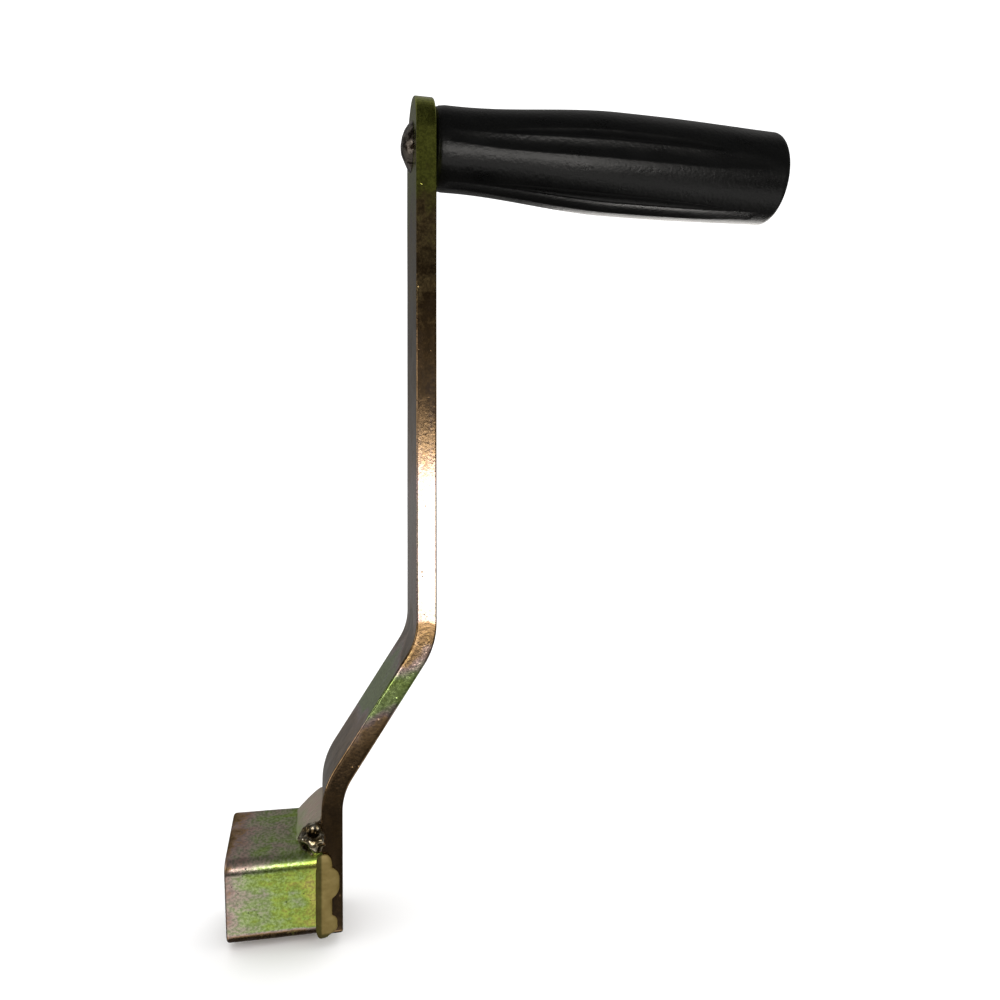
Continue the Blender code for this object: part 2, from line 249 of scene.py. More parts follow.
# ---------------------------------------------------------------- node materials
class Graph:
    """A short way to write a material's nodes."""

    def __init__(self, name):
        self.material = bpy.data.materials.new(name)
        self.material.use_nodes = True
        self.tree = self.material.node_tree
        self.shader = self.tree.nodes["Principled BSDF"]
        self.place = self.node("ShaderNodeTexCoord").outputs["Object"]

    def node(self, kind, **settings):
        made = self.tree.nodes.new(kind)
        for key, value in settings.items():
            setattr(made, key, value)
        return made

    def put(self, socket, value):
        if isinstance(value, bpy.types.NodeSocket):
            self.tree.links.new(value, socket)
        else:
            socket.default_value = value

    def scaled(self, scale, offset=(0.0, 0.0, 0.0)):
        made = self.node("ShaderNodeMapping")
        self.put(made.inputs["Vector"], self.place)
        made.inputs["Scale"].default_value = scale
        made.inputs["Location"].default_value = offset
        return made.outputs["Vector"]

    def noise(self, vector, scale, detail=3.0, roughness=0.55, distortion=0.0):
        made = self.node("ShaderNodeTexNoise")
        self.put(made.inputs["Vector"], vector)
        made.inputs["Scale"].default_value = scale
        made.inputs["Detail"].default_value = detail
        made.inputs["Roughness"].default_value = roughness
        made.inputs["Distortion"].default_value = distortion
        return made.outputs["Fac"]

    def voronoi(self, vector, scale):
        made = self.node("ShaderNodeTexVoronoi")
        self.put(made.inputs["Vector"], vector)
        made.inputs["Scale"].default_value = scale
        return made.outputs["Distance"]

    def math(self, operation, a, b=0.0):
        made = self.node("ShaderNodeMath", operation=operation)
        self.put(made.inputs[0], a)
        self.put(made.inputs[1], b)
        return made.outputs["Value"]

    def drift(self, value, pattern, amount):
        """The value moved up and down by a pattern that runs from 0 to 1."""
        return self.math("ADD", value, self.math("MULTIPLY", self.math("SUBTRACT", pattern, 0.5), amount))

    def grain(self, scale):
        """Even fine noise, the same everywhere on a piece."""
        return self.noise(self.scaled((1, 1, 1), (0.2, 0.5, 0.1)), scale)

    def remap(self, value, low, high, to_low, to_high):
        made = self.node("ShaderNodeMapRange", interpolation_type="SMOOTHSTEP")
        self.put(made.inputs["Value"], value)
        made.inputs["From Min"].default_value = low
        made.inputs["From Max"].default_value = high
        made.inputs["To Min"].default_value = to_low
        made.inputs["To Max"].default_value = to_high
        return made.outputs["Result"]

    def axis(self, name):
        made = self.node("ShaderNodeSeparateXYZ")
        self.put(made.inputs["Vector"], self.place)
        return made.outputs[name]

    def ramp(self, value, stops):
        made = self.node("ShaderNodeValToRGB")
        elements = made.color_ramp.elements
        while len(elements) < len(stops):
            elements.new(1.0)
        for element, (position, colour) in zip(elements, stops):
            element.position = position
            element.color = (*colour, 1.0)
        self.put(made.inputs["Fac"], value)
        return made.outputs["Color"]

    def mix(self, factor, a, b, blend="MIX"):
        made = self.node("ShaderNodeMix", data_type="RGBA", blend_type=blend)
        self.put(made.inputs["Factor"], factor)
        self.put(made.inputs["A"], a)
        self.put(made.inputs["B"], b)
        return made.outputs["Result"]

    def bump(self, height, distance, strength=1.0, before=None):
        made = self.node("ShaderNodeBump")
        made.inputs["Strength"].default_value = strength
        made.inputs["Distance"].default_value = distance
        self.put(made.inputs["Height"], height)
        if before:
            self.put(made.inputs["Normal"], before)
        return made.outputs["Normal"]

    def surface(self, colour, metallic, roughness, normal):
        """Join everything to the shader and give back the finished material."""
        self.put(self.shader.inputs["Base Color"], colour)
        self.shader.inputs["Metallic"].default_value = metallic
        self.put(self.shader.inputs["Roughness"], roughness)
        self.put(self.shader.inputs["Normal"], normal)
        return self.material


# The colours a chromate film runs through as it gets thicker.
FILM_COLOURS = [
    (0.00, (0.50, 0.40, 0.15)),
    (0.10, (0.47, 0.42, 0.12)),
    (0.20, (0.42, 0.44, 0.09)),
    (0.32, (0.32, 0.44, 0.08)),
    (0.44, (0.36, 0.46, 0.19)),
    (0.55, (0.45, 0.42, 0.31)),
    (0.66, (0.52, 0.38, 0.34)),
    (0.77, (0.40, 0.26, 0.14)),
    (0.84, (0.18, 0.11, 0.05)),
    (0.91, (0.38, 0.27, 0.12)),
    (1.00, (0.39, 0.42, 0.08)),
]

# How thick the film is, as a place in FILM_COLOURS, from one end of the piece to the other; on the bar the
# table also lays a pale band as painted highlight and a dark band just below it as painted shade.
# Partly film colour, partly painted light: the pale run from 0.355 to 0.50 is painted highlight where the
# key lamp's highlight falls on the bar's edge, and the dark run from 0.325 to 0.345 is painted shade just
# below it.
BAR_FILM_AND_PAINTED_LIGHT = [
    (0.00, 0.78), (0.10, 0.80), (0.17, 0.81), (0.205, 0.81), (0.225, 0.75), (0.24, 0.58),
    (0.25, 0.42), (0.285, 0.38), (0.30, 0.50), (0.315, 0.68), (0.325, 0.83), (0.345, 0.83),
    (0.355, 0.62), (0.50, 0.61), (0.53, 0.71), (0.58, 0.76), (0.66, 0.79), (0.76, 0.88),
    (0.84, 0.90), (0.875, 1.02), (1.00, 1.04),
]
TUBE_FILM = [(0.0, 0.62), (0.14, 0.53), (0.30, 0.40), (0.55, 0.35), (0.80, 0.29), (1.0, 0.18)]


def zinc(name, film_stops, axis, low, high, mottle, streak_scale, roughness, tube=False):
    """Yellow-passivated zinc: a film whose thickness drifts along the piece, mottles and streaks; the table
    can also lay painted highlight and painted shade, and on a tube painted shade darkens the film towards
    the underside.
    """
    g = Graph(name)
    along = g.remap(g.axis(axis), low, high, 0.0, 1.0)
    along.node.interpolation_type = "LINEAR"
    wander = g.noise(g.scaled((1, 1, 1), (3.1, 1.7, 0.4)), 75.0, 2.0)
    along = g.drift(along, wander, 0.10)
    film = g.ramp(along, [(t, (v, v, v)) for t, v in film_stops])
    patches = g.noise(g.scaled((1, 1, 1)), 160.0, 4.0, 0.6, 0.4)
    grain = g.noise(g.scaled((1, 1, 1), (0.3, 0.9, 0.2)), 1300.0, 3.0, 0.6)
    streaks = g.noise(g.scaled(streak_scale), 1.0, 3.0, 0.6)
    height = g.axis("Z")
    if tube:
        film = g.math("ADD", film, g.remap(height, *TUBE_TOP_FILM_Z, 0.0, 0.14))
        # Painted shade: towards the tube's underside the film is pushed to a dark brown.
        painted_underside_shade = g.remap(height, *TUBE_PAINTED_SHADE_Z, 1.0, 0.0)
        to_painted_shade = g.math("SUBTRACT", 0.77, film)
        film = g.math("ADD", film, g.math("MULTIPLY", to_painted_shade, painted_underside_shade))
    film = g.drift(film, patches, mottle)
    film = g.drift(film, grain, mottle * 0.55)
    film = g.drift(film, streaks, mottle * 0.6)
    colour = g.ramp(film, FILM_COLOURS)
    tone = g.remap(grain, 0.38, 0.62, 0.76, 1.20)
    tone_colour = g.node("ShaderNodeCombineColor")
    for channel in ("Red", "Green", "Blue"):
        g.put(tone_colour.inputs[channel], tone)
    colour = g.mix(1.0, colour, tone_colour.outputs["Color"], "MULTIPLY")
    rough = g.remap(patches, 0.3, 0.7, roughness - 0.05, roughness + 0.06)
    if tube:
        rough = g.math("ADD", rough, g.remap(height, *TUBE_TOP_ROUGH_Z, 0.0, 0.18))
    pits = g.remap(g.voronoi(g.scaled((1, 1, 1)), 700.0), 0.0, 0.22, 0.0, 1.0)
    sparse = g.noise(g.scaled((1, 1, 1), (7.0, 2.0, 5.0)), 260.0, 2.0)
    sparse = g.remap(sparse, 0.60, 0.68, 0.0, 1.0)
    pits = g.math("SUBTRACT", 1.0, g.math("MULTIPLY", g.math("SUBTRACT", 1.0, pits), sparse))
    normal = g.bump(grain, 0.00004, 0.7)
    normal = g.bump(streaks, 0.00006, 0.5, normal)
    normal = g.bump(pits, 0.00012, 0.8, normal)
    return g.surface(colour, 1.0, rough, normal)


def weld_metal():
    """Weld metal plated over with the same film, duller than the bar."""
    g = Graph("plated_weld_metal")
    patches = g.noise(g.scaled((1, 1, 1)), 330.0, 4.0, 0.6, 0.6)
    grain = g.grain(1700.0)
    film = g.drift(g.remap(g.axis("Z"), *FILLET_FILM_Z, 0.50, 0.60), patches, 0.30)
    normal = g.bump(grain, 0.00006, 0.7)
    normal = g.bump(patches, 0.00016, 0.6, normal)
    return g.surface(g.ramp(film, FILM_COLOURS), 0.72, g.remap(patches, 0.3, 0.7, 0.30, 0.42), normal)


def weld_wash():
    """Weld metal washed over the bar's edge: tan, with painted shade in dark olive along its strip by the
    tube and at its lower end.
    """
    g = Graph("plated_weld_wash")
    patches = g.noise(g.scaled((1, 1, 1), (0.4, 0.1, 0.9)), 300.0, 3.0, 0.55, 0.3)
    grain = g.grain(1700.0)
    # Painted shade: dark olive on the wash by the tube and at its lower end; tan elsewhere.
    painted_shade_olive = g.ramp(patches, [(0.35, (0.041, 0.033, 0.001)), (0.65, (0.066, 0.055, 0.003))])
    tan = g.ramp(patches, [(0.35, (0.155, 0.110, 0.026)), (0.65, (0.205, 0.152, 0.045))])
    over_bar = g.remap(g.axis("X"), *WASH_OVER_BAR_X, 0.0, 1.0)
    above_end = g.remap(g.axis("Z"), *WASH_PAINTED_SHADE_END_Z, 0.0, 1.0)
    colour = g.mix(g.math("MULTIPLY", over_bar, above_end), painted_shade_olive, tan)
    normal = g.bump(grain, 0.00005, 0.6)
    return g.surface(colour, 0.45, g.remap(patches, 0.3, 0.7, 0.40, 0.52), normal)


def weld_spatter():
    """The lumpy end of the top weld: dark brown in its hollows, patchy and brighter on its outer humps."""
    g = Graph("plated_weld_spatter")
    patches = g.noise(g.scaled((1, 1, 1), (0.7, 0.2, 0.5)), 420.0, 3.0, 0.6, 0.5)
    grain = g.grain(1900.0)
    stops = [(0.40, (0.14, 0.10, 0.045)), (0.50, (0.32, 0.26, 0.16)), (0.60, (0.62, 0.57, 0.46))]
    reach = g.node("ShaderNodeVectorMath", operation="DISTANCE")
    g.put(reach.inputs[0], g.place)
    reach.inputs[1].default_value = BLOB_CENTRE
    ridge = g.remap(reach.outputs["Value"], *BLOB_RIDGE_REACH, 0.0, 1.0)
    # Dark brown nearer the blob's centre, in its hollows; patchy and brighter further out, on its humps.
    dark_in_hollows = (0.030, 0.020, 0.009, 1.0)
    colour = g.mix(ridge, dark_in_hollows, g.ramp(patches, stops))
    normal = g.bump(grain, 0.00004, 0.6)
    return g.surface(colour, 1.0, g.remap(patches, 0.3, 0.7, 0.30, 0.18), normal)


def bare_steel(name, bright, dull, roughness, hammered=False):
    """Unplated steel; a hammered piece is patchy on its left end and plain on its right."""
    g = Graph(name)
    patches = g.noise(g.scaled((1, 1, 1)), 420.0, 4.0, 0.65, 0.8)
    grain = g.grain(2100.0)
    between = tuple((a + b) / 2 for a, b in zip(bright, dull))
    colour = g.ramp(patches, [(0.42, dull), (0.50, between), (0.58, bright)])
    if hammered:
        plain = g.ramp(patches, [(0.35, (0.30, 0.28, 0.24)), (0.65, (0.38, 0.36, 0.31))])
        colour = g.mix(g.remap(g.axis("X"), *HAMMERED_TO_PLAIN_X, 0.0, 1.0), colour, plain)
    rough = g.remap(patches, 0.3, 0.7, roughness + 0.12, roughness)
    normal = g.bump(grain, 0.00003, 0.5)
    normal = g.bump(patches, 0.00004, 0.4, normal)
    return g.surface(colour, 1.0, rough, normal)


def black_plastic():
    """Satin black moulding with a faint grain."""
    g = Graph("black_grip_plastic")
    fine = g.noise(g.scaled((1, 1, 1)), 900.0, 4.0, 0.6)
    broad = g.noise(g.scaled((0.35, 1, 1), (0.1, 0.6, 0.2)), 260.0, 3.0)
    colour = g.ramp(broad, [(0.3, (0.0008, 0.0008, 0.0008)), (0.7, (0.0016, 0.0016, 0.0015))])
    g.shader.inputs["Specular IOR Level"].default_value = 0.34
    normal = g.bump(fine, 0.00014, 0.8)
    normal = g.bump(broad, 0.00010, 0.4, normal)
    return g.surface(colour, 0.0, g.remap(broad, 0.3, 0.7, 0.27, 0.34), normal)


# ---------------------------------------------------------------- the bar
def bar_path(s):
    """Middle line of the bar at a distance s from its lower end: x, z and the bar's lean there."""
    radius = BAR_MIDDLE_BEND_RADIUS
    lower_run = LOWER_BEND_CENTRE[1] - ARM_BOTTOM_Z
    arc_run = radius * LEAN
    low = (
        LOWER_BEND_CENTRE[0] - radius * math.cos(LEAN),
        LOWER_BEND_CENTRE[1] + radius * math.sin(LEAN),
    )
    high = (
        UPPER_BEND_CENTRE[0] + radius * math.cos(LEAN),
        UPPER_BEND_CENTRE[1] - radius * math.sin(LEAN),
    )
    middle_run = math.hypot(high[0] - low[0], high[1] - low[1])
    if s < lower_run:
        return BAR_THICKNESS / 2, ARM_BOTTOM_Z + s, 0.0
    s -= lower_run
    if s < arc_run:
        turn = s / radius
        return (
            LOWER_BEND_CENTRE[0] - radius * math.cos(turn),
            LOWER_BEND_CENTRE[1] + radius * math.sin(turn),
            turn,
        )
    s -= arc_run
    if s < middle_run:
        t = s / middle_run
        return low[0] + (high[0] - low[0]) * t, low[1] + (high[1] - low[1]) * t, LEAN
    s -= middle_run
    if s < arc_run:
        turn = LEAN - s / radius
        return (
            UPPER_BEND_CENTRE[0] + radius * math.cos(turn),
            UPPER_BEND_CENTRE[1] - radius * math.sin(turn),
            turn,
        )
    s -= arc_run
    return ARM_LEFT_X + BAR_THICKNESS / 2, UPPER_BEND_CENTRE[1] + s, 0.0


def bar_length_to_axle():
    """Distance along the middle line from the lower end to the axle's height."""
    low = 0.0
    high = 0.4
    for _ in range(60):
        middle = (low + high) / 2
        if bar_path(middle)[1] < CRANK_RADIUS:
            low = middle
        else:
            high = middle
    return low


def bar_half_outline(inset, axle_at):
    """Half of the flat bar's outline, (y, s) from its lower end's corner up to its top, inset."""
    half = BAR_WIDTH / 2 - inset
    corner = max(BAR_CORNER_RADIUS - inset, BAR_LEAST_CORNER_RADIUS)
    points = []
    for i in range(7):
        angle = math.pi / 2 * i / 6
        points.append((half - corner + corner * math.sin(angle), inset + corner - corner * math.cos(angle)))
    start = inset + corner
    runs = 190
    for i in range(1, runs):
        points.append((half, start + (axle_at - start) * i / runs))
    for i in range(40):
        angle = math.pi / 2 * i / 40
        points.append((half * math.cos(angle), axle_at + half * math.sin(angle)))
    return points


def bar_point(y, s, t):
    """A point of the bent bar: y across, s along, t through its thickness from the middle."""
    x, z, lean = bar_path(max(s, 0.0))
    if s < 0.0:
        z += s
    t += BAR_RIPPLE * noise.noise(Vector((y * 55, s * 40, t * 90 + 3.3)))
    return Vector((x + t * math.cos(lean), y, z - t * math.sin(lean)))


def bar_mesh():
    """Points and faces of the bent bar: rings from one wide face round the edge to the other."""
    axle_at = bar_length_to_axle()
    radius = BAR_EDGE_RADIUS
    half = BAR_THICKNESS / 2
    layers = [(BAR_FACE_RING_INSET, -half), (radius + 0.0003, -half)]
    for i in range(7):
        angle = math.pi / 2 * i / 6
        layers.append((radius * (1 - math.sin(angle)), -(half - radius) - radius * math.cos(angle)))
    for i in range(1, 6):
        t = -1 + 2 * i / 6
        layers.append((0.0, (half - radius) * t))
    layers += [(inset, -t) for inset, t in layers[8::-1]]
    across = 14
    points = []
    rings = []
    for inset, t in layers:
        side = bar_half_outline(inset, axle_at)
        tip = (0.0, axle_at + BAR_WIDTH / 2 - inset)
        left_y, bottom_s = side[0]
        bottom = [(left_y * (1 - 2 * j / across), bottom_s) for j in range(1, across)]
        outline = [(-y, s) for y, s in side] + [tip] + side[::-1] + bottom
        rings.append(range(len(points), len(points) + len(outline)))
        points += [bar_point(y, s, t) for y, s in outline]
    faces = []
    count = len(rings[0])
    for low, high in zip(rings, rings[1:]):
        for j in range(count):
            k = (j + 1) % count
            faces.append((low[j], low[k], high[k], high[j]))
    for ring, (inset, t) in ((rings[0], layers[0]), (rings[-1], layers[-1])):
        side = bar_half_outline(inset, axle_at)
        rows = []
        for i, (y, s) in enumerate(side):
            left = ring[i]
            right = ring[2 * len(side) - i]
            if i == 0:
                inner = list(ring[2 * len(side) + 1:])[::-1]
            else:
                inner = list(range(len(points), len(points) + across - 1))
                for j in range(1, across):
                    points.append(bar_point(-y + 2 * y * j / across, s, t))
            rows.append([left] + inner + [right])
        for low, high in zip(rows, rows[1:]):
            for j in range(across):
                faces.append((low[j], low[j + 1], high[j + 1], high[j]))
        tip = ring[len(side)]
        for j in range(across):
            faces.append((rows[-1][j], rows[-1][j + 1], tip))
    return points, faces


def cut_axle_hole(arm):
    """Cut the spigot's hole through the bar, then drop the cutter."""
    mesh = bpy.data.meshes.new("hole")
    work = bmesh.new()
    bmesh.ops.create_cone(
        work,
        cap_ends=True,
        segments=64,
        radius1=SPIGOT_RADIUS + GAP,
        radius2=SPIGOT_RADIUS + GAP,
        depth=3 * BAR_THICKNESS,
    )
    work.to_mesh(mesh)
    work.free()
    cutter = bpy.data.objects.new("hole", mesh)
    bpy.context.scene.collection.objects.link(cutter)
    centre = Matrix.Translation((ARM_LEFT_X + BAR_THICKNESS / 2, 0.0, CRANK_RADIUS))
    cutter.matrix_world = centre @ Matrix.Rotation(math.pi / 2, 4, "Y")
    modifier = arm.modifiers.new("hole", "BOOLEAN")
    modifier.operation = "DIFFERENCE"
    modifier.solver = "EXACT"
    modifier.object = cutter
    bpy.context.view_layer.update()
    graph = bpy.context.evaluated_depsgraph_get()
    cut = bpy.data.meshes.new_from_object(arm.evaluated_get(graph))
    arm.modifiers.clear()
    arm.data = cut
    bpy.data.objects.remove(cutter, do_unlink=True)
    bpy.data.meshes.remove(mesh)


def arm_bar(material):
    points, faces = bar_mesh()
    arm = make_piece("arm_bar", points, faces, material, "crank", "crank_arm")
    cut_axle_hole(arm)


# ---------------------------------------------------------------- the square tube
def square_ring(inset):
    """The tube's outline in its own y and z, inset from the outside."""
    half = SOCKET_SIDE / 2 - inset
    radius = max(SOCKET_CORNER_RADIUS - inset, SOCKET_INNER_CORNER_RADIUS)
    reach = half - radius
    ring = []
    for quarter in range(4):
        start = quarter * math.pi / 2
        middle = start + math.pi / 4
        cy = math.copysign(reach, math.cos(middle))
        cz = math.copysign(reach, math.sin(middle))
        for i in range(13):
            angle = start + math.pi / 2 * i / 12
            ring.append((cy + radius * math.cos(angle), cz + radius * math.sin(angle)))
        end = ring[-1]
        turn = start + math.pi / 2
        direction = (-math.sin(turn), math.cos(turn))
        for i in range(1, 16):
            step = 2 * reach * i / 16
            ring.append((end[0] + direction[0] * step, end[1] + direction[1] * step))
    return ring


def socket_tube(material):
    """The open tube: along the outside to the mouth, round its lip and back along the inside."""
    rounding = SOCKET_EDGE_ROUNDING
    mouth = -SOCKET_LENGTH
    profile = [(SOCKET_OVERLAP, 0.0)]
    for i in range(1, 25):
        profile.append((SOCKET_OVERLAP + (mouth + rounding - SOCKET_OVERLAP) * i / 24, 0.0))
    for i in range(1, 5):
        angle = math.pi / 2 * i / 4
        profile.append((mouth + rounding * (1 - math.sin(angle)), rounding * (1 - math.cos(angle))))
    profile.append((mouth, SOCKET_WALL / 2))
    for i in range(5):
        angle = math.pi / 2 * i / 4
        profile.append(
            (mouth + rounding * (1 - math.cos(angle)), SOCKET_WALL - rounding * (1 - math.sin(angle)))
        )
    for i in range(1, 13):
        profile.append((mouth + rounding + (-mouth - rounding + SOCKET_OVERLAP) * i / 12, SOCKET_WALL))
    profile.append((SOCKET_OVERLAP, SOCKET_WALL / 2))
    points = []
    for x, inset in profile:
        for y, z in square_ring(inset):
            place = Vector((x, y, z))
            swell = SOCKET_SWELL * noise.noise(place * 110 + Vector((1.5, 0.2, 7.7)))
            outward = Vector((0.0, y, z)).normalized()
            points.append(CLOCKED @ (place + outward * swell))
    faces = grid_faces(len(profile), len(square_ring(0.0)), wrap_rows=True, wrap_columns=True)
    make_piece("socket_tube", points, faces, material, "crank", "drive_socket")


# ---------------------------------------------------------------- the welds
def strip(name, material, node, path, across, out, edges, crown, root, ripple, ends=BEAD_END_LENGTH):
    """A weld bead along a path; edges(v) gives its two half widths, crown(u) its height."""
    rows = 90
    columns = 30
    points = []
    length = sum((b - a).length for a, b in zip(path, path[1:]))
    for i in range(rows):
        v = i / (rows - 1)
        place = v * (len(path) - 1)
        k = min(int(place), len(path) - 2)
        centre = path[k].lerp(path[k + 1], place - k)
        run = v * length
        close = min(run, length - run) / ends
        taper = math.sqrt(max(1 - (1 - min(close, 1.0)) ** 2, 0.0))
        left, right = edges(v)
        top = []
        under = []
        for j in range(columns):
            u = -1 + 2 * j / (columns - 1)
            reach = (left if u < 0 else right) * u * (0.25 + 0.75 * taper)
            height = crown(u) * taper
            chevron = run - RIPPLE_BOW * (1 - u * u)
            height += ripple * (1 - u * u) * taper * math.sin(math.tau * chevron / RIPPLE_PITCH)
            wander = BEAD_WANDER * noise.noise(Vector((u * 2.0, run * 700, 0.3 + len(name))))
            base = centre + across * reach
            top.append(base + out * (height + wander * taper))
            under.append(base - out * root * (1 - u * u) * taper)
        points += top + under[-2:0:-1]
    ring = 2 * columns - 2
    faces = grid_faces(rows, ring, wrap_columns=True)
    faces.append(tuple(range(ring)))
    faces.append(tuple(range((rows - 1) * ring, rows * ring)))
    make_piece(name, points, faces, material, "crank", node)


def bead_front(material):
    """The bead down the front seam, which spreads onto the bar's edge in two scallops."""

    def edges(v):
        z = WASH_TOP_Z - (WASH_TOP_Z - WASH_BOTTOM_Z) * v
        spread = WASH_LEAST_RIGHT_WIDTH
        for middle, half_height, width in WASH_SCALLOPS:
            spread = max(spread, width * math.exp(-(((z - middle) / half_height) ** 4)))
        return WASH_LEFT_WIDTH, spread

    def crown(u):
        if u < 0:
            return WASH_CROWN * (1 - u * u) ** 0.5
        return WASH_CROWN * (1 - u ** 6)

    middle_z = (WASH_TOP_Z + WASH_BOTTOM_Z) / 2
    path = [
        Vector((BEAD_X, -0.0151, WASH_TOP_Z)),
        Vector((BEAD_X, -0.01475, middle_z)),
        Vector((BEAD_X, -0.0145, WASH_BOTTOM_Z)),
    ]
    out = Vector((-0.05, -1.0, -0.12)).normalized()
    across = Vector((1.0, 0.11, 0.0)).normalized()
    strip("bead_front", material, "weld_front", path, across, out, edges, crown, 0.0015, 0.00002)


def seam_bead(name, material, node, path, across, out, widths, rise, waves, phase):
    """A plain rounded bead, a little wavy along both edges."""

    def edges(v):
        swell = BEAD_SWELL * math.sin(phase + v * waves)
        return widths[0] + swell, widths[1] - swell

    def crown(u):
        return rise * (1 - u * u) ** 0.7

    strip(name, material, node, path, across, out, edges, crown, 0.0022, 0.00016)


def bead_rear(material):
    path = [Vector((0.0004, 0.0126, 0.0135)), Vector((0.0004, 0.0138, -0.0090))]
    out = Vector((-0.25, 1.0, 0.0)).normalized()
    across = Vector((1.0, 0.25, 0.0)).normalized()
    widths = (0.0026, 0.0026)
    seam_bead("bead_rear", material, "weld_rear", path, across, out, widths, 0.0017, 19.0, 0.0)


def bead_bottom(material):
    path = [Vector((0.0002, -0.0100, -0.0143)), Vector((0.0002, 0.0110, -0.0118))]
    out = Vector((-0.30, 0.05, -1.0)).normalized()
    across = Vector((1.0, 0.0, -0.30)).normalized()
    widths = (0.0026, 0.0024)
    seam_bead("bead_bottom", material, "weld_bottom", path, across, out, widths, 0.0020, 17.0, 2.0)


def fillet_top(material):
    """The broad flat fillet above the socket, in the corner with the bar."""
    wall = SOCKET_SIDE / 2
    middle = Vector((-FILLET_LEG / 2, 0.0, wall + FILLET_LEG / 2))
    start = CLOCKED @ (middle + Vector((0.0, FILLET_FRONT_Y, 0.0)))
    end = CLOCKED @ (middle + Vector((0.0, FILLET_REAR_Y, 0.0)))
    out = CLOCKED @ Vector((-1.0, 0.0, 1.0)).normalized()
    across = CLOCKED @ Vector((1.0, 0.0, 1.0)).normalized()
    reach = FILLET_LEG / math.sqrt(2) + 0.0003

    def edges(v):
        swell = 0.00025 * math.sin(v * 15.0 + 0.7)
        return reach + swell, reach - swell

    def crown(u):
        return 0.0003 * (1 - u * u)

    path = [start, start.lerp(end, 0.5), end]
    strip("fillet_top", material, "weld_top", path, across, out, edges, crown, 0.0050, 0.00006, 0.0016)


def fillet_corner(material):
    """The lumpy end of the fillet: a ball with pits and humps, each a direction, a width and a depth."""
    work = bmesh.new()
    bmesh.ops.create_icosphere(work, subdivisions=6, radius=1.0)
    work.verts.index_update()
    dents = [
        (Vector((0.06, -0.70, 0.78)), 0.46, 0.36),
        (Vector((-0.66, -0.66, -0.42)), 0.50, 0.36),
        (Vector((0.55, -0.70, -0.45)), 0.30, 0.22),
        (Vector((-0.75, -0.30, 0.55)), 0.35, 0.16),
    ]
    humps = [
        (Vector((0.50, -0.80, 0.20)), 0.30, 0.14),
        (Vector((-0.10, -0.98, -0.20)), 0.28, 0.10),
        (Vector((-0.65, -0.72, 0.20)), 0.30, 0.12),
    ]
    for vertex in work.verts:
        d = vertex.co.normalized()
        size = 1.0
        for centre, width, depth in dents:
            gap = (d - centre.normalized()).length / width
            size -= depth * math.exp(-(gap ** 4))
        for centre, width, height in humps:
            gap = (d - centre.normalized()).length / width
            size += height * math.exp(-(gap ** 2))
        size += 0.10 * noise.noise(d * 2.3 + Vector((4.0, 1.0, 2.0)))
        size += 0.02 * noise.noise(d * 5.0)
        vertex.co = d * BLOB_STRETCH * size * BLOB_RADIUS + BLOB_CENTRE
    points = [v.co.copy() for v in work.verts]
    faces = [tuple(v.index for v in f.verts) for f in work.faces]
    work.free()
    make_piece("fillet_corner", points, faces, material, "crank", "weld_corner")


# ---------------------------------------------------------------- axle and washer
def peening():
    """Flats left by the hammer on the rivet's dome: a unit normal and how deep each one cuts."""
    flats = []
    for ring, count, tilt in ((0, 1, 4), (1, 6, 24), (2, 10, 43), (3, 14, 60)):
        for k in range(count):
            angle = math.tau * (k + 0.37 * ring) / count + 0.5 * math.sin(7.1 * k + ring)
            lean = math.radians(tilt + 5.0 * math.sin(3.3 * k + 1.9 * ring))
            depth = 0.00021 + 0.00011 * math.sin(5.7 * k + 2.3 * ring)
            normal = Vector(
                (-math.cos(lean), -math.sin(lean) * math.cos(angle), math.sin(lean) * math.sin(angle))
            )
            flats.append((normal, depth))
    return flats


